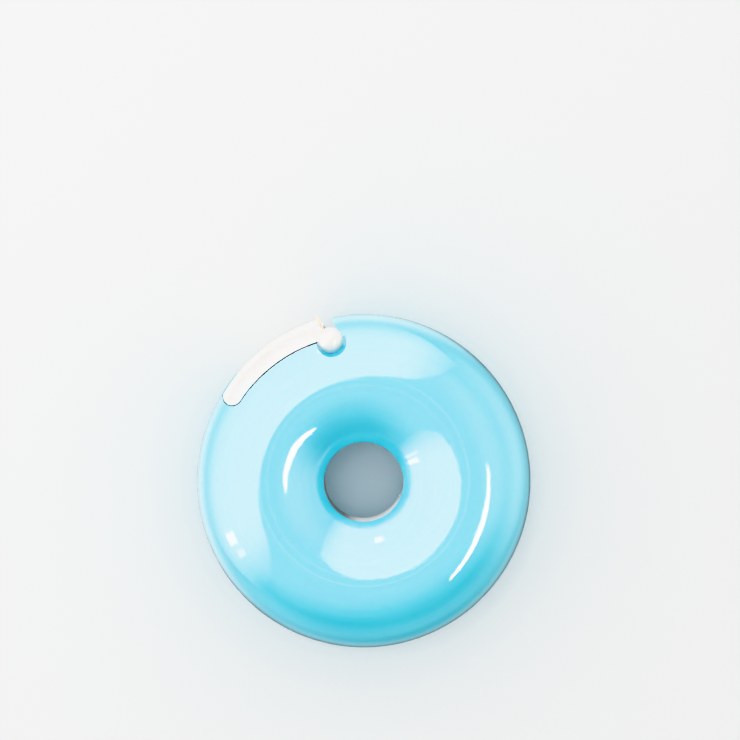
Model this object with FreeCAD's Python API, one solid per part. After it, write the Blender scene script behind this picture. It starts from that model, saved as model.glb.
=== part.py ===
"""Ring-shaped tape dispenser: two snap-together half shells round a roll of tape, with a hinged cutter arm.

The ring's axis is Z and the front faces +Z. Every piece is built about the parting plane at z = 0 and
lifted on export, so that the dispenser lies on its back with the origin at the centre of its underside.
Lengths are millimetres. Angles are degrees, anticlockwise from +X seen from the front.
"""
import FreeCAD, Part
import math
import os

V = FreeCAD.Vector
Z_AXIS = V(0, 0, 1)
CENTRE = V(0, 0, 0)

# Outer form
OUTER_DIAMETER = 73.0
THICKNESS = 29.0
HOLE_DIAMETER = 17.2
FLARE_DEPTH = 7.0          # case's front or back to the straight wall inside the hole
HOLE_EDGE = 0.7            # radius between the bore and the flare
FLARE_ANGLE = 45.0         # slope of the flare where it reaches that radius
WALL = 1.5
REST_DEPTH = 0.05          # how far the flat is cut into the back's crown
SEAM_CHAMFER = 0.15        # edge break along the parting line

# Roll of tape
SIDE_ROOM = 5.5            # tape's edge to the case's front and back
ROLL_ROOM = 4.85           # full roll to the hinge barrel
CORE_WALL = 2.3
TAB_THICKNESS = 0.25
TAB_ARC = 28.0
TAB_ANGLE = 215.0

# What carries the roll
RIB_COUNT = 6
RIB_THICKNESS = 1.2
RIB_HEIGHT = 1.3           # out from the hub's collar
SPINDLE_CLEARANCE = 0.3    # rib tips to the core's bore
SIDE_CLEARANCE = 0.25      # stop rings to the core's ends
STOP_RING_STEP = 0.5       # stop ring out from the core's bore
STOP_RING_WIDTH = 1.2

# How the shells join
JOIN_CLEARANCE = 0.1
COLLAR_WALL = 0.9
COLLAR_REACH = 3.0
LIP_THICKNESS = 0.6
LIP_HEIGHT = 1.2
PEG_COUNT = 3
PEG_START = 60.0
PEG_RADIUS = 1.0
PEG_LENGTH = 4.5
PEG_POINT = 0.4
PEG_END_ROOM = 0.5
POST_WALL = 1.1
POST_INSET = 6.3           # post axis in from the rim

# Cutter arm
ARM_INSET = 4.6            # depth of the arm in from the rim
ARM_WALL = 1.6
ARM_PROUD = 0.5            # how far the cutting end stands out from the rim
ARM_END_ANGLE = 139.0      # where the arm stops spanning the rim
ARM_END_WALL = 1.8         # wall behind the blade
ARM_CLEARANCE = 0.3
TIP_ANGLE = 150.2
TIP_THICKNESS = 1.1
TIP_EDGE = 3.0             # height of the tip's outer edge above the parting plane
MOUTH_WIDTH = 2.5          # tape slot between the arm's end face and the shells
MOUTH_BEVEL_DEPTH = 0.5
MOUTH_BEVEL_WIDTH = 1.05

# Hinge
HINGE_INSET = 5.1          # hinge axis in from the rim
HINGE_ANGLE = 103.2
FACE_ANGLE = 119.2         # direction of the arm's end face, seen from the hinge axis
BARREL_RADIUS = 2.3
AXLE_RADIUS = 1.25
AXLE_CLEARANCE = 0.08
BUTTON_RADIUS = 2.85
BUTTON_DOME = 2.3          # height of the button over the ear
BUTTON_CLEARANCE = 0.45
BUTTON_OFFSET = 0.4        # recess centre out from the hinge axis
BUTTON_OFFSET_ANGLE = 303.0
NECK_RADIUS = 2.2
NECK_LENGTH = 2.6
NECK_ANGLE = 160.0         # direction of the neck's foot, seen from the hinge axis
NECK_SINK = 1.8            # neck's foot below the arm's skin
EAR_THICKNESS = 1.3
EAR_CLEARANCE = 0.12
EAR_WALL = 0.85
EAR_STEP = 0.3             # ears' inner faces outside the tape's edges
EAR_CAP = 0.8              # floor of the back ear's blind hole
SNAP_MOUTH = 0.8           # front ear's snap opening as a share of the axle

# Blade
BLADE_THICKNESS = 0.4
BLADE_FOOT = 2.7           # hinge axis to the blade's lower edge
BLADE_WEB = 0.6            # plain strip left under the gullets
TOOTH_HEIGHT = 0.8
TOOTH_STAND = 0.45         # tooth tips proud of the arm
TOOTH_PITCH = 1.2
STUD_RADIUS = 0.55
STUD_ROOT = 1.0            # how deep a stud starts inside the arm
STUD_SPACING = 10.0
STUD_LIFT = 0.95           # stud axis out from the blade's lower edge
STUD_HEAD_RADIUS = 0.8
STUD_HEAD = 0.3
STUD_CLEARANCE = 0.05

OUTER_R = OUTER_DIAMETER / 2
TUBE_R = (THICKNESS + REST_DEPTH) / 2
HOLE_R = HOLE_DIAMETER / 2
RING_R = OUTER_R - TUBE_R
HUB_R = HOLE_R + WALL
COLLAR_R = HUB_R + JOIN_CLEARANCE + COLLAR_WALL
SPINDLE_R = COLLAR_R + RIB_HEIGHT
CORE_R = SPINDLE_R + SPINDLE_CLEARANCE
WINDING_R = CORE_R + CORE_WALL
HINGE_R = OUTER_R - HINGE_INSET
ROLL_R = HINGE_R - BARREL_RADIUS - ROLL_ROOM
HALF_TAPE = THICKNESS / 2 - SIDE_ROOM
POST_R = OUTER_R - POST_INSET
ARM_R = OUTER_R - ARM_INSET
NOTCH_R = ARM_R - ARM_CLEARANCE
EAR_R = AXLE_RADIUS + EAR_WALL
EAR_LOW = HALF_TAPE + EAR_STEP
EAR_TOP = EAR_LOW + EAR_THICKNESS
BARREL_TOP = EAR_LOW - EAR_CLEARANCE
BUTTON_LOW = EAR_TOP + EAR_CLEARANCE
OVERRUN = 1.0              # how far a cutting tool runs past what it cuts
TALL = THICKNESS * 2       # a prism this tall passes through the whole ring


def polar(radius, angle, z=0.0):
    """Point at a distance and angle from the ring's axis."""
    return V(radius * math.cos(math.radians(angle)), radius * math.sin(math.radians(angle)), z)


def arc_angle(length, radius):
    return math.degrees(length / radius)


HINGE = polar(HINGE_R, HINGE_ANGLE)
BUTTON_RECESS = HINGE + polar(BUTTON_OFFSET, BUTTON_OFFSET_ANGLE)


def cylinder(radius, low, high, centre=CENTRE):
    return Part.makeCylinder(radius, high - low, V(centre.x, centre.y, low))


def tube(outer, inner, low, high, centre=CENTRE):
    return cylinder(outer, low, high, centre).cut(cylinder(inner, low - OVERRUN, high + OVERRUN, centre))


def sector(inner, outer, start, end, low=-TALL, high=TALL):
    """Part of a tube between two angles."""
    wedge = Part.makeCylinder(outer, high - low, V(0, 0, low), Z_AXIS, end - start)
    wedge.rotate(CENTRE, Z_AXIS, start)
    return wedge.cut(cylinder(inner, low - OVERRUN, high + OVERRUN))


def on_hinge(shape):
    """Move a shape from the hinge's frame (x over the tape slot, y up the arm's end face) to its place."""
    shape.rotate(CENTRE, Z_AXIS, FACE_ANGLE - 90)
    shape.translate(HINGE)
    return shape


def hinge_box(across, along, low=-TALL, high=TALL):
    corner = V(across[0], along[0], low)
    return on_hinge(Part.makeBox(across[1] - across[0], along[1] - along[0], high - low, corner))


def behind_face(gap):
    """Everything further along the arm than a plane set back from its end face."""
    return hinge_box((-TALL, -gap), (-TALL, TALL))


def along_arm(inner, end, gap):
    """Everything outside a radius, from a plane set back from the arm's end face round to an angle."""
    start = HINGE_ANGLE - arc_angle(BARREL_RADIUS, HINGE_R)
    return sector(inner, OUTER_R + TALL, start, end).common(behind_face(gap))


def up_the_face(radius, across=0.0):
    """How far up from the hinge a circle round the ring's axis meets the end face or a plane beside it."""
    tilt = math.radians(FACE_ANGLE - HINGE_ANGLE)
    return math.sqrt(radius ** 2 - (across + HINGE_R * math.sin(tilt)) ** 2) - HINGE_R * math.cos(tilt)


def prism(points, direction):
    return Part.Face(Part.makePolygon(points + points[:1])).extrude(direction)


def half_ring(inset):
    """Solid front half of the ring with its skin moved inwards by inset."""
    rim, top, hole = OUTER_R - inset, TUBE_R - inset, HOLE_R + inset
    slope = math.radians(FLARE_ANGLE)
    edge = max(HOLE_EDGE - inset, 0)
    land = THICKNESS / 2 - FLARE_DEPTH - max(inset - HOLE_EDGE, 0) * math.tan(math.pi / 4 - slope / 2)
    crown, shoulder = V(RING_R, 0, top), V(hole, 0, land)
    foot = shoulder + V(edge * (1 - math.sin(slope)), 0, edge * math.cos(slope))
    flare = Part.BezierCurve()
    flare.setPoles([crown, V(foot.x + (top - foot.z) / math.tan(slope), 0, top), foot])
    half_way = V(RING_R + (rim - RING_R) * math.sqrt(0.5), 0, top * math.sqrt(0.5))
    edges = [Part.Arc(V(rim, 0, 0), half_way, crown).toShape(), flare.toShape()]
    if edge > 0:
        turn = slope / 2 + math.pi / 4
        middle = shoulder + V(edge * (1 - math.sin(turn)), 0, edge * math.cos(turn))
        edges.append(Part.Arc(foot, middle, shoulder).toShape())
    edges += [Part.makeLine(shoulder, V(hole, 0, 0)), Part.makeLine(V(hole, 0, 0), V(rim, 0, 0))]
    return Part.Face(Part.Wire(edges)).revolve(CENTRE, Z_AXIS, 360)


def flipped(shape):
    """The same shape on the other side of the parting plane."""
    return shape.mirror(CENTRE, Z_AXIS)


def full_ring(inset):
    upper = half_ring(inset)
    return upper.fuse(flipped(upper)).removeSplitter()


def arm_ring(inset):
    """The ring that the arm's skin follows, moved so that the arm's cutting end stands proud of the rim."""
    lean = math.sin(math.radians(ARM_END_ANGLE - HINGE_ANGLE))
    ring = full_ring(inset)
    ring.translate(polar(ARM_PROUD / lean, ARM_END_ANGLE - 90))
    return ring


def merged(base, *others):
    return base.multiFuse(list(others)).removeSplitter()


def around(count, start, shape):
    """Copies of a shape, evenly spaced about the ring's axis."""
    copies = []
    for index in range(count):
        copy = shape.copy()
        copy.rotate(CENTRE, Z_AXIS, start + 360.0 * index / count)
        copies.append(copy)
    return copies


def spindle_ribs(low, high):
    """Ribs that centre the roll's core on the hub."""
    inner = HUB_R - WALL / 2
    rib = Part.makeBox(SPINDLE_R - inner, RIB_THICKNESS, high - low, V(inner, -RIB_THICKNESS / 2, low))
    return around(RIB_COUNT, 0, rib.common(full_ring(WALL / 2)))


def seam_break():
    """Ring that bevels a shell's outer edge at the parting plane."""
    low, high = OUTER_R - SEAM_CHAMFER, OUTER_R + SEAM_CHAMFER
    outline = Part.makePolygon([V(low, 0, 0), V(high, 0, 2 * SEAM_CHAMFER), V(high, 0, 0), V(low, 0, 0)])
    return Part.Face(outline).revolve(CENTRE, Z_AXIS, 360)


def notch():
    """What both shells lose to the arm and the tape slot, right through from front to back."""
    under_arm = along_arm(NOTCH_R, ARM_END_ANGLE + arc_angle(ARM_CLEARANCE, OUTER_R), 0)
    slot = hinge_box((0, MOUTH_WIDTH), (0, TALL))
    crest = up_the_face(OUTER_R, MOUTH_WIDTH)
    bevel = prism([V(MOUTH_WIDTH, crest - MOUTH_BEVEL_DEPTH, -TALL),
                   V(MOUTH_WIDTH + MOUTH_BEVEL_WIDTH, crest, -TALL),
                   V(MOUTH_WIDTH + MOUTH_BEVEL_WIDTH, crest + TALL, -TALL),
                   V(MOUTH_WIDTH, crest + TALL, -TALL)], V(0, 0, 2 * TALL))
    barrel_room = cylinder(BARREL_RADIUS + ARM_CLEARANCE, -EAR_LOW, EAR_LOW, HINGE)
    return merged(under_arm, slot, on_hinge(bevel), barrel_room)


def posts():
    return around(PEG_COUNT, PEG_START, cylinder(PEG_RADIUS + POST_WALL, 0, TUBE_R, V(POST_R, 0, 0)))


def hollow_shell():
    """Half ring with its roll stop, posts and hinge pad, before anything is cut for the arm."""
    stop_r = CORE_R + STOP_RING_STEP
    stop = tube(stop_r + STOP_RING_WIDTH, stop_r, HALF_TAPE + SIDE_CLEARANCE, TUBE_R)
    within = half_ring(WALL / 2)
    pad_r = BUTTON_RADIUS + BUTTON_CLEARANCE + EAR_WALL
    pad = cylinder(pad_r, EAR_LOW, TUBE_R, BUTTON_RECESS).common(half_ring(0))
    skin = half_ring(0).cut(half_ring(WALL))
    return merged(skin, pad, *[piece.common(within) for piece in [stop, *posts()]]).cut(seam_break())


def tip_plan(grow):
    """The arm's rounded tip seen from the front, made larger all round by grow."""
    outer = RING_R + math.sqrt(TUBE_R ** 2 - TIP_EDGE ** 2)
    middle, radius = (ARM_R + outer) / 2, (outer - ARM_R) / 2
    end = TIP_ANGLE - arc_angle(radius, middle)
    low = TIP_EDGE - grow
    start = ARM_END_ANGLE - arc_angle(ARM_CLEARANCE, OUTER_R)
    strip = sector(middle - radius - grow, OUTER_R + grow, start, end, low)
    return strip.fuse(cylinder(radius + grow, low, TALL, polar(middle, end)))


def front_shell():
    tip_floor = TIP_THICKNESS + ARM_CLEARANCE / 2
    pad_end = TIP_ANGLE + arc_angle(ARM_CLEARANCE + WALL, OUTER_R)
    tip_pad = sector(NOTCH_R - WALL, OUTER_R, ARM_END_ANGLE, pad_end, TIP_EDGE - WALL, TUBE_R)
    tip_pad = tip_pad.common(half_ring(tip_floor / 2)).cut(half_ring(tip_floor + WALL))
    peg = cylinder(PEG_RADIUS, -PEG_LENGTH + PEG_POINT, PEG_LENGTH, V(POST_R, 0, 0))
    point = Part.makeCone(PEG_RADIUS - PEG_POINT, PEG_RADIUS, PEG_POINT, V(POST_R, 0, -PEG_LENGTH))
    ribs = spindle_ribs(COLLAR_REACH + SIDE_CLEARANCE, HALF_TAPE)
    shell = merged(hollow_shell(), tip_pad, *ribs, *around(PEG_COUNT, PEG_START, peg.fuse(point)))
    lip_room = OUTER_R - WALL + LIP_THICKNESS + JOIN_CLEARANCE
    rebate = tube(lip_room, OUTER_R - WALL - OVERRUN, -OVERRUN, LIP_HEIGHT + JOIN_CLEARANCE)
    tip_pocket = tip_plan(ARM_CLEARANCE).common(half_ring(-OVERRUN)).cut(half_ring(tip_floor))
    shell = shell.cut(rebate).cut(notch()).cut(tip_pocket)
    shell = merged(shell, cylinder(EAR_R, EAR_LOW, EAR_TOP, HINGE))
    half_mouth = AXLE_RADIUS * SNAP_MOUTH
    recess = cylinder(BUTTON_RADIUS + BUTTON_CLEARANCE, EAR_TOP, TALL, BUTTON_RECESS)
    snap = hinge_box((-half_mouth, half_mouth), (0, TALL), EAR_LOW - OVERRUN, TALL)
    axle_hole = cylinder(AXLE_RADIUS + AXLE_CLEARANCE, 0, TALL, HINGE)
    return shell.cut(recess).cut(snap.fuse(axle_hole))


def back_shell():
    inner = HUB_R + JOIN_CLEARANCE
    collar = tube(COLLAR_R, inner, 0, COLLAR_REACH)
    collar_root = tube(COLLAR_R, HUB_R - WALL / 2, -COLLAR_REACH, 0)
    ribs = [rib.cut(cylinder(inner, 0, TALL)) for rib in spindle_ribs(-HALF_TAPE, COLLAR_REACH)]
    lip = tube(OUTER_R - WALL + LIP_THICKNESS, OUTER_R - WALL, -LIP_HEIGHT, LIP_HEIGHT)
    shell = merged(flipped(hollow_shell()), collar, collar_root, lip, *ribs)
    socket = cylinder(PEG_RADIUS + JOIN_CLEARANCE / 2, -PEG_LENGTH - PEG_END_ROOM, OVERRUN, V(POST_R, 0, 0))
    shell = shell.cut(Part.makeCompound(around(PEG_COUNT, PEG_START, socket))).cut(notch())
    shell = merged(shell, cylinder(EAR_R, -EAR_TOP - EAR_CAP, -EAR_LOW, HINGE))
    shell = shell.cut(cylinder(AXLE_RADIUS + AXLE_CLEARANCE, -EAR_TOP, 0, HINGE))
    return shell.cut(cylinder(TALL, -TALL, REST_DEPTH - TUBE_R))


def button_and_neck():
    """Domed button over the front ear, and the neck that joins it to the arm."""
    top = HINGE + V(0, 0, BUTTON_LOW + BUTTON_DOME - BUTTON_RADIUS)
    foot = HINGE + polar(NECK_LENGTH, NECK_ANGLE)
    foot.z = math.sqrt(TUBE_R ** 2 - (foot.Length - RING_R) ** 2) - NECK_SINK
    line = foot - top
    lean = (BUTTON_RADIUS - NECK_RADIUS) / line.Length
    length = line.Length * (1 - lean ** 2)
    shrink = math.sqrt(1 - lean ** 2)
    line.normalize()
    cone = Part.makeCone(BUTTON_RADIUS * shrink, NECK_RADIUS * shrink, length,
                         top + line * (BUTTON_RADIUS * lean), line)
    neck = cone.fuse(Part.makeSphere(NECK_RADIUS, foot)).common(behind_face(BLADE_THICKNESS))
    recess = cylinder(BUTTON_RADIUS + BUTTON_CLEARANCE - ARM_CLEARANCE, BUTTON_LOW, TALL, BUTTON_RECESS)
    ear_room = cylinder(EAR_R + ARM_CLEARANCE, -TALL, BUTTON_LOW, HINGE)
    under = cylinder(ARM_R, -TALL, TALL).cut(recess).fuse(ear_room)
    dome = Part.makeSphere(BUTTON_RADIUS, top).cut(cylinder(TALL, -TALL, BUTTON_LOW))
    return neck.cut(under).fuse(dome)


def blade_stud(side):
    """Headed stud that holds the blade to the arm's end face."""
    middle = V(0, BLADE_FOOT + STUD_LIFT, side * STUD_SPACING / 2)
    across = V(1, 0, 0)
    length = STUD_ROOT + BLADE_THICKNESS
    shank = Part.makeCylinder(STUD_RADIUS, length, middle - across * length, across)
    return on_hinge(shank.fuse(Part.makeCylinder(STUD_HEAD_RADIUS, STUD_HEAD, middle, across)))


def cutter_arm():
    span = along_arm(ARM_R, ARM_END_ANGLE, BLADE_THICKNESS).common(arm_ring(0))
    span = span.cut(arm_ring(ARM_WALL).common(behind_face(BLADE_THICKNESS + ARM_END_WALL)))
    tip = tip_plan(0).common(arm_ring(0)).cut(half_ring(TIP_THICKNESS))
    barrel = cylinder(BARREL_RADIUS, -BARREL_TOP, BARREL_TOP, HINGE)
    arm = merged(span, tip, barrel)
    arm = arm.cut(cylinder(EAR_R + ARM_CLEARANCE, -TALL, -BARREL_TOP, HINGE))
    arm = arm.cut(cylinder(EAR_R + ARM_CLEARANCE, BARREL_TOP, TALL, HINGE))
    axle = cylinder(AXLE_RADIUS, -EAR_TOP + EAR_CLEARANCE, BUTTON_LOW, HINGE)
    return merged(arm, axle, button_and_neck(), *[blade_stud(side) for side in (-1, 1)])


def tooth_tip(z):
    """How far up the arm's end face the tooth tips lie, at a height z."""
    return up_the_face(RING_R + math.sqrt((TUBE_R + TOOTH_STAND + ARM_PROUD) ** 2 - z ** 2))


def toothed_half():
    """Height at which the tooth tips come down so far that a gullet would cut into the blade's web."""
    tilt = math.radians(FACE_ANGLE - HINGE_ANGLE)
    lowest = BLADE_FOOT + BLADE_WEB + TOOTH_HEIGHT
    rim = math.hypot(lowest + HINGE_R * math.cos(tilt), HINGE_R * math.sin(tilt))
    return min(BARREL_TOP, math.sqrt((TUBE_R + TOOTH_STAND + ARM_PROUD) ** 2 - (rim - RING_R) ** 2))


def gullet(z):
    """Notch between two teeth."""
    half = TOOTH_PITCH / 2 * (TOOTH_HEIGHT + OVERRUN) / TOOTH_HEIGHT
    root = V(-OVERRUN, tooth_tip(z) - TOOTH_HEIGHT, z)
    rise = TOOTH_HEIGHT + OVERRUN
    return on_hinge(prism([root, root + V(0, rise, -half), root + V(0, rise, half)], V(2 * OVERRUN, 0, 0)))


def cutter_blade():
    """Serrated steel strip across the arm's end face, following the curve of the rim."""
    blank = hinge_box((-BLADE_THICKNESS, 0), (BLADE_FOOT, TALL), -BARREL_TOP, BARREL_TOP)
    blank = blank.common(arm_ring(-TOOTH_STAND))
    count = int(2 * toothed_half() / TOOTH_PITCH)
    cuts = [gullet((index - (count - 1) / 2) * TOOTH_PITCH) for index in range(count)]
    hole_r = STUD_RADIUS + STUD_CLEARANCE
    for side in (-1, 1):
        middle = V(-OVERRUN, BLADE_FOOT + STUD_LIFT, side * STUD_SPACING / 2)
        cuts.append(on_hinge(Part.makeCylinder(hole_r, 2 * OVERRUN, middle, V(1, 0, 0))))
    for cut in cuts:
        blank = blank.cut(cut)
    return blank


def tape_core():
    return tube(WINDING_R, CORE_R, -HALF_TAPE, HALF_TAPE)


def tape_winding():
    return tube(ROLL_R, WINDING_R, -HALF_TAPE, HALF_TAPE)


def tape_end_tab():
    """Starter tab stuck down on the outside of the roll."""
    return sector(ROLL_R, ROLL_R + TAB_THICKNESS, TAB_ANGLE, TAB_ANGLE + TAB_ARC, -HALF_TAPE, HALF_TAPE)


def export(name, shape):
    lifted = shape.copy()
    lifted.translate(V(0, 0, TUBE_R - REST_DEPTH))
    solids = lifted.Solids
    if len(solids) == 1:
        lifted = solids[0]
    print(name, "solids", len(solids), "valid", lifted.isValid(), "volume", round(lifted.Volume, 1))
    lifted.exportStep(os.path.join("parts", name + ".step"))


def main():
    os.makedirs("parts", exist_ok=True)
    for piece in (back_shell, front_shell, cutter_arm, cutter_blade, tape_core, tape_winding, tape_end_tab):
        export(piece.__name__, piece())


main()
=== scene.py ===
"""Looks of the ring-shaped tape dispenser: glossy cyan half shells, a white cutter arm, and the roll inside."""
import bpy
import math
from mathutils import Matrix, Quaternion, Vector


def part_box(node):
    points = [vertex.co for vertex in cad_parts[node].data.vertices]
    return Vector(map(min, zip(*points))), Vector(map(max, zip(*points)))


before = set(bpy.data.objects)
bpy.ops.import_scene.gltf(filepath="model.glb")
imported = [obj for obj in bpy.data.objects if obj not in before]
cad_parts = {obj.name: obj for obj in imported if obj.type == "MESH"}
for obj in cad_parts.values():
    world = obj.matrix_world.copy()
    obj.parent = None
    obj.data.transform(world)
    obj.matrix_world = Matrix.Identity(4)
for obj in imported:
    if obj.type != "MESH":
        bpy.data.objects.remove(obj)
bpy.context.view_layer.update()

MM = 0.001
RING_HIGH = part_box("front_shell")[1]
ROLL_LOW, ROLL_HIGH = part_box("tape_winding")
MID = (ROLL_LOW.z + ROLL_HIGH.z) / 2     # height of the parting plane
TUBE_R = (RING_HIGH.z - MID) / MM        # the ring's section, in millimetres
RING_R = RING_HIGH.x / MM - TUBE_R       # radius of the crown's circle, in millimetres
WHITE = (1.0, 1.0, 1.0, 1.0)


class Wire:
    """One shader socket. Arithmetic on it adds the Math nodes that work it out."""

    def __init__(self, graph, socket):
        self.graph = graph
        self.socket = socket

    def maths(self, operation, *others, swap=False):
        values = [self, *others]
        if swap:
            values.reverse()
        return self.graph.add("ShaderNodeMath", {"operation": operation}, dict(enumerate(values)))

    def __add__(self, other):
        return self.maths("ADD", other)

    def __radd__(self, other):
        return self.maths("ADD", other)

    def __sub__(self, other):
        return self.maths("SUBTRACT", other)

    def __rsub__(self, other):
        return self.maths("SUBTRACT", other, swap=True)

    def __mul__(self, other):
        return self.maths("MULTIPLY", other)

    def __rmul__(self, other):
        return self.maths("MULTIPLY", other)

    def __truediv__(self, other):
        return self.maths("DIVIDE", other)

    def __pow__(self, other):
        return self.maths("POWER", other)

    def __abs__(self):
        return self.maths("ABSOLUTE")

    def smooth(self, low, high):
        """0 below low, 1 above high, and a soft step between them."""
        return self.graph.add("ShaderNodeMapRange", {"interpolation_type": "SMOOTHSTEP"},
                              {"Value": self, "From Min": low, "From Max": high})


class Graph:
    """A node tree under construction."""

    def __init__(self, tree):
        self.tree = tree
        self.tree.nodes.clear()

    def add(self, kind, settings=None, sockets=None, output=0):
        """Add a node, apply its settings, then fill its sockets with values or links. Returns one of its outputs."""
        node = self.tree.nodes.new(kind)
        for name, value in (settings or {}).items():
            setattr(node, name, value)
        for name, value in (sockets or {}).items():
            self.feed(node.inputs[name], value)
        return Wire(self, node.outputs[output]) if node.outputs else node

    def feed(self, socket, value):
        if isinstance(value, Wire):
            self.tree.links.new(value.socket, socket)
        else:
            socket.default_value = value

    def vector(self, operation, *values):
        return self.add("ShaderNodeVectorMath", {"operation": operation}, dict(enumerate(values)))

    def vector_value(self, operation, *values):
        """A vector operation that gives a plain number."""
        return self.add("ShaderNodeVectorMath", {"operation": operation}, dict(enumerate(values)), output=1)

    def mix(self, factor, first, second):
        """Colour between first and second."""
        colours = {"Factor": factor, 6: rgba(first), 7: rgba(second)}
        return self.add("ShaderNodeMix", {"data_type": "RGBA"}, colours, output=2)

    def noise(self, where, scale, detail=2.0, roughness=0.5, distortion=0.0):
        return self.add("ShaderNodeTexNoise", {}, {"Vector": where, "Scale": scale, "Detail": detail,
                                                   "Roughness": roughness, "Distortion": distortion})

    def bump(self, height, depth, after=None):
        """Normal from a height of 0 to 1 that stands for depth millimetres."""
        sockets = {"Height": height, "Distance": depth * MM, "Strength": 1.0}
        if after is not None:
            sockets["Normal"] = after
        return self.add("ShaderNodeBump", {}, sockets)


def rgba(colour):
    return colour if isinstance(colour, Wire) else (*colour, 1.0)


def srgb(red, green, blue):
    """Linear colour of a paint-chart colour from 0 to 255."""
    shares = [value / 255 for value in (red, green, blue)]
    return tuple(s / 12.92 if s <= 0.04045 else ((s + 0.055) / 1.055) ** 2.4 for s in shares)


class Finish(Graph):
    """A material's graph, with the coordinates that its pieces need, in millimetres about the ring's middle."""

    def __init__(self, name):
        self.material = bpy.data.materials.new(name)
        self.material.use_nodes = True
        super().__init__(self.material.node_tree)
        place = self.add("ShaderNodeTexCoord", output="Object")
        centred = self.vector("SUBTRACT", place, (0.0, 0.0, MID))
        self.place = self.scaled(centred, 1 / MM)
        split = self.add("ShaderNodeSeparateXYZ", {}, {0: self.place})
        self.x, self.y, self.z = (Wire(self, socket) for socket in split.socket.node.outputs)
        self.radius = (self.x * self.x + self.y * self.y) ** 0.5
        self.angle = self.y.maths("ARCTAN2", self.x)

    def scaled(self, vector, factor):
        if isinstance(factor, tuple):
            return self.vector("MULTIPLY", vector, factor)
        return self.vector("MULTIPLY", vector, (factor, factor, factor))

    def ring_place(self, around, out, up):
        """Coordinates that run round the ring's axis, for marks that follow the turning direction."""
        return self.add("ShaderNodeCombineXYZ", {}, {0: self.angle * around, 1: self.radius * out, 2: self.z * up})

    def finish(self, fixed, varying):
        """End in one Principled shader: fixed values on its sockets, varying ones linked."""
        shader = self.add("ShaderNodeBsdfPrincipled", {}, {**fixed, **varying})
        self.add("ShaderNodeOutputMaterial", {}, {0: shader})
        return self.material


def shell_plastic():
    """Glossy moulded plastic, pale cyan, with the faint flow and sink marks of a moulding. Satin inside the case."""
    underside, inner_face, inner_blend = -TUBE_R, TUBE_R - 1.3, 0.1
    g = Finish("cyan_gloss_plastic")
    cloud = g.noise(g.place, 0.045, detail=3.0)
    flow = g.noise(g.ring_place(1.2, 0.55, 0.5), 1.0, detail=4.0, roughness=0.6)
    tint = g.mix(cloud.smooth(0.35, 0.7), srgb(34, 204, 230), srgb(46, 208, 232))
    colour = g.mix(flow.smooth(0.45, 0.75) * 0.35, tint, srgb(74, 214, 234))
    scuff = g.noise(g.scaled(g.place, (1.0, 1.0, 0.4)), 1.7, detail=6.0, roughness=0.7)
    rest = 1.0 - g.z.smooth(underside, underside + 1.0)
    off_middle = g.radius - RING_R
    depth = (off_middle * off_middle + g.z * g.z) ** 0.5
    inside = 1.0 - depth.smooth(inner_face - inner_blend, inner_face + inner_blend)
    roughness = 0.07 + flow * 0.05 + scuff.smooth(0.55, 0.8) * 0.04 + rest * scuff.smooth(0.4, 0.6) * 0.22
    roughness = roughness + inside * (0.3 + scuff * 0.1)
    wave = g.noise(g.place, 0.16, detail=1.5)
    skin = g.noise(g.place, 6.0, detail=2.0)
    normal = g.bump(wave, 0.09)
    normal = g.bump(flow, 0.02, after=normal)
    normal = g.bump(skin, 0.0012, after=normal)
    return g.finish({"IOR": 1.5, "Subsurface Weight": 0.3, "Subsurface Scale": 0.005,
                     "Coat Roughness": 0.03, "Coat IOR": 1.6},
                    {"Base Color": colour, "Roughness": roughness, "Normal": normal,
                     "Coat Weight": (0.9 + flow * 0.1) * (1.0 - inside * 0.95)})


def arm_plastic():
    """Glossy white moulded plastic, a little warm."""
    g = Finish("white_gloss_plastic")
    cloud = g.noise(g.place, 0.25, detail=3.0)
    colour = g.mix(cloud.smooth(0.3, 0.7), srgb(240, 236, 233), srgb(247, 244, 242))
    scuff = g.noise(g.place, 1.5, detail=6.0, roughness=0.7)
    normal = g.bump(g.noise(g.place, 0.3, detail=1.5), 0.03)
    normal = g.bump(g.noise(g.place, 7.0), 0.0012, after=normal)
    return g.finish({"IOR": 1.49, "Subsurface Weight": 0.2, "Subsurface Scale": 0.0015, "Coat Roughness": 0.03},
                    {"Base Color": colour, "Roughness": 0.14 + scuff.smooth(0.5, 0.8) * 0.1,
                     "Coat Weight": 0.3 + cloud * 0.1, "Normal": normal})


def blade_steel():
    """Stamped stainless strip, brushed along its length."""
    g = Finish("stamped_steel")
    brush = g.noise(g.scaled(g.place, (14.0, 14.0, 0.6)), 1.0, detail=5.0, roughness=0.65)
    colour = g.mix(brush, srgb(122, 112, 100), srgb(160, 150, 134))
    return g.finish({"Metallic": 1.0},
                    {"Base Color": colour, "Roughness": 0.34 + brush * 0.2, "Normal": g.bump(brush, 0.006)})


def core_board():
    """Wound grey-brown paperboard: fibres, and plies that show at its ends."""
    ply_thickness = 0.46
    g = Finish("wound_paperboard")
    fibre = g.noise(g.ring_place(40.0, 1.0, 5.0), 1.0, detail=6.0, roughness=0.75)
    fleck = g.noise(g.place, 2.2, detail=5.0, roughness=0.7)
    ply = (g.radius * 2 * math.pi / ply_thickness).maths("SINE") * 0.5 + 0.5
    colour = g.mix(fibre.smooth(0.3, 0.75), srgb(176, 140, 98), srgb(206, 176, 134))
    colour = g.mix(fleck.smooth(0.58, 0.72) * 0.6, colour, srgb(142, 108, 74))
    colour = g.mix(ply.smooth(0.8, 1.0) * 0.4, colour, srgb(150, 116, 80))
    normal = g.bump(ply, 0.03, after=g.bump(fibre, 0.03))
    return g.finish({}, {"Base Color": colour, "Roughness": 0.78 + fibre * 0.15, "Normal": normal})


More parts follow.
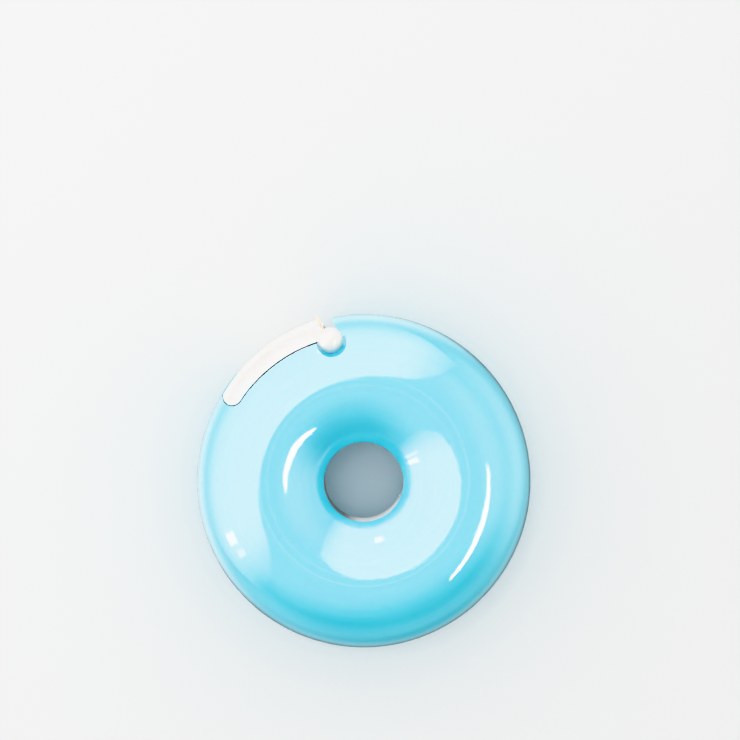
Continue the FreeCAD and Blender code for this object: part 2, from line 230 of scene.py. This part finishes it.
def tape_film():
    """Clear film wound in layers: rings on its sides, gloss and faint trapped air outside."""
    ring_step = 0.36
    g = Finish("wound_clear_film")
    wobble = g.noise(g.ring_place(1.0, 0.4, 0.02), 1.0, detail=2.0)
    coarse = g.noise(g.ring_place(0.12, 3.0, 0.0), 1.0, detail=6.0, roughness=0.7)
    layers = ((g.radius + wobble * 0.15) * 2 * math.pi / ring_step).maths("SINE") * 0.5 + 0.5
    air = g.noise(g.ring_place(14.0, 0.2, 1.1), 1.0, detail=4.0, distortion=0.6)
    colour = g.mix(coarse.smooth(0.3, 0.7), srgb(203, 201, 178), srgb(230, 229, 214))
    colour = g.mix(layers * 0.25, colour, srgb(242, 243, 234))
    colour = g.mix(air.smooth(0.6, 0.7) * 0.5, colour, srgb(247, 247, 243))
    normal = g.bump(layers, 0.02, after=g.bump(air, 0.01))
    return g.finish({"Subsurface Weight": 0.3, "Subsurface Scale": 0.003},
                    {"Base Color": colour, "Roughness": 0.16 + coarse * 0.18, "Normal": normal})


def tab_paper():
    """Coloured paper tab with fibres."""
    g = Finish("tab_paper")
    fibre = g.noise(g.place, 3.5, detail=8.0, roughness=0.75)
    colour = g.mix(fibre.smooth(0.3, 0.7), srgb(232, 106, 92), srgb(243, 132, 114))
    return g.finish({}, {"Base Color": colour, "Roughness": 0.7 + fibre * 0.2, "Normal": g.bump(fibre, 0.01)})


def dress(node, material):
    """Give a CAD node its finish."""
    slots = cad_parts[node].data.materials
    slots.clear()
    slots.append(material)


def make_floor():
    """Plain pale floor. Glossy surfaces don't mirror it: the studio's glow below the horizon stands in for it."""
    bpy.ops.mesh.primitive_plane_add(size=6.0)
    floor = bpy.context.object
    floor.name = "floor"
    floor.visible_glossy = False
    material = bpy.data.materials.new("pale_floor")
    material.use_nodes = True
    floor.data.materials.append(material)
    g = Graph(material.node_tree)
    shader = g.add("ShaderNodeBsdfPrincipled", {}, {"Base Color": rgba(srgb(226, 226, 226)), "Roughness": 0.3})
    g.add("ShaderNodeOutputMaterial", {}, {0: shader})


def direction(azimuth, zenith):
    """Unit vector towards a place in the studio: degrees round from the ring's right, and down from overhead."""
    a, t = math.radians(azimuth), math.radians(zenith)
    return Vector((math.sin(t) * math.cos(a), math.sin(t) * math.sin(a), math.cos(t)))


def towards(g, ray, azimuth, zenith):
    """1 for a ray in the direction, down to -1 for its opposite."""
    return g.vector_value("DOT_PRODUCT", ray, tuple(direction(azimuth, zenith)))


def pane(g, ray, azimuth, zenith, tilt=0.0):
    """Coordinates on a flat pane that faces the ring from a direction: across, up, and 1 for rays towards it."""
    ahead = direction(azimuth, zenith)
    side = Quaternion(ahead, math.radians(tilt)) @ direction(azimuth + 90, 90)
    depth = towards(g, ray, azimuth, zenith)
    near = depth.maths("MAXIMUM", 0.01)
    across = g.vector_value("DOT_PRODUCT", ray, tuple(side)) / near
    up = g.vector_value("DOT_PRODUCT", ray, tuple(ahead.cross(side))) / near
    return across, up, depth.smooth(0.0, 0.02)


def within(offset, half, edge):
    """1 where an offset on a pane is under a half width, with a soft edge; both in degrees."""
    limit, fade = math.tan(math.radians(half)), math.tan(math.radians(edge))
    return 1.0 - abs(offset).smooth(limit - fade, limit + fade)


def small_window(g, ray, azimuth, zenith, wide, high, edge):
    """Bright rectangle in the studio, by its middle's direction and its half sizes in degrees."""
    across, up, ahead = pane(g, ray, azimuth, zenith)
    return ahead * within(across, wide, edge) * within(up, high, edge)


def tall_window(g, ray, height, leaning):
    """Wide window on the upper left that starts almost overhead and fades out to its sides and below the ring."""
    up, ahead = pane(g, ray, 140, 47)[1:]
    top, edge = math.tan(math.radians(42.0)), 0.02
    faded = leaning.smooth(-0.05, 0.45) * height.smooth(-0.55, 0.3)
    return ahead * (1.0 - up.smooth(top - edge, top + edge)) * faded


def strip_light(g, ray):
    """Long narrow light that tapers to its ends, in panes with thin bars between them."""
    half_length, half_width = math.tan(math.radians(20.6)), math.tan(math.radians(3.4))
    off_centre, bar_edge = 0.03, 0.15
    across, up, ahead = pane(g, ray, -23.9, 42.7, tilt=15.6)
    reach = (across + off_centre) / half_length
    half = half_width * (1.0 - reach * reach).maths("MAXIMUM", 0.0)
    strip = ahead * (1.0 - (abs(up) / half.maths("MAXIMUM", 0.001)).smooth(0.85, 1.1))
    strip = strip * (1.0 - abs(reach).smooth(0.93, 0.99))
    for place, width, darkness in ((-0.13, 0.35, 0.85), (0.16, 0.25, 0.5)):
        strip = strip * (1.0 - within(across - place, width, bar_edge) * darkness)
    return strip * (1.0 - within(up - 0.012, 0.25, bar_edge) * 0.6)


def studio_walls(g, ray, height):
    """Soft glow of the ceiling and the walls: brighter on the right, dimmer below, with a faint ring overhead."""
    wall, ceiling, right, dimmer, overhead = 1.2, 2.7, 2.2, 0.6, 2.5
    glow = wall + height.smooth(0.1, 0.8) * ceiling + towards(g, ray, 15, 78).smooth(0.5, 1.0) * right
    glow = glow * (1.0 - towards(g, ray, 288, 85).smooth(0.4, 0.95) * dimmer)
    return glow + within(height.maths("ARCCOSINE") - math.radians(9.0), 0.5, 0.25) * overhead


def floor_glow(glow, height, leaning):
    """Glow below the horizon in place of the floor: brighter on the upper left, dim straight down."""
    glow = glow + (leaning.smooth(-0.2, 0.7) * 2.6 - 0.4) * (1.0 - height.smooth(-0.75, -0.2))
    glow = glow + (1.0 - abs(height + 0.14).smooth(0.05, 0.45)) * 0.45
    return glow * (1.0 - (0.0 - height).smooth(0.7, 1.0) * 0.8)


def make_light():
    """A white studio: even light all round, with bright panes that only glossy surfaces show."""
    world = bpy.data.worlds.new("studio")
    world.use_nodes = True
    world.cycles.sampling_method = "NONE"
    g = Graph(world.node_tree)
    ray = g.add("ShaderNodeTexCoord")
    height = towards(g, ray, 0, 0)
    leaning = towards(g, ray, 138, 90) / (1.0 - height * height).maths("MAXIMUM", 0.0001) ** 0.5
    even = 0.85 + towards(g, ray, 125, 60).smooth(-0.3, 1.0) * 0.6
    shown = studio_walls(g, ray, height) + tall_window(g, ray, height, leaning) * 11.0
    shown = floor_glow(shown, height, leaning)
    shown = shown + small_window(g, ray, 205, 79, wide=2.3, high=9.0, edge=0.7) * 45.0
    shown = shown + small_window(g, ray, 212, 74, wide=1.3, high=8.0, edge=0.9) * 14.0
    shown = shown + small_window(g, ray, 106, 66, wide=3.5, high=2.5, edge=1.0) * 50.0
    shown = shown + strip_light(g, ray) * 150.0
    bounced = g.add("ShaderNodeLightPath", output="Diffuse Depth").maths("MINIMUM", 1.0)
    light = g.add("ShaderNodeBackground", {}, {"Color": WHITE, "Strength": shown + (even - shown) * bounced})
    backdrop = g.add("ShaderNodeBackground", {}, {"Color": WHITE, "Strength": 0.8})
    seen_directly = g.add("ShaderNodeLightPath", output="Is Camera Ray")
    both = g.add("ShaderNodeMixShader", {}, {0: seen_directly, 1: light, 2: backdrop})
    g.add("ShaderNodeOutputWorld", {}, {0: both})
    bpy.context.scene.world = world


def make_camera():
    """Straight down over the ring, which lies low and a little left in a square picture."""
    distance, across = 620.0 * MM, 162.1 * MM
    right, above = 1.37 * MM, 24.2 * MM
    data = bpy.data.cameras.new("camera")
    data.lens = data.sensor_width * distance / across
    camera = bpy.data.objects.new("camera", data)
    camera.location = (right, above, MID + distance)
    bpy.context.scene.collection.objects.link(camera)
    bpy.context.scene.camera = camera


def main():
    make_camera()
    make_floor()
    make_light()
    shell = shell_plastic()
    dress("front_shell", shell)
    dress("back_shell", shell)
    dress("cutter_arm", arm_plastic())
    dress("cutter_blade", blade_steel())
    dress("tape_core", core_board())
    dress("tape_winding", tape_film())
    dress("tape_end_tab", tab_paper())
    bpy.context.scene.view_settings.view_transform = "Khronos PBR Neutral"


main()
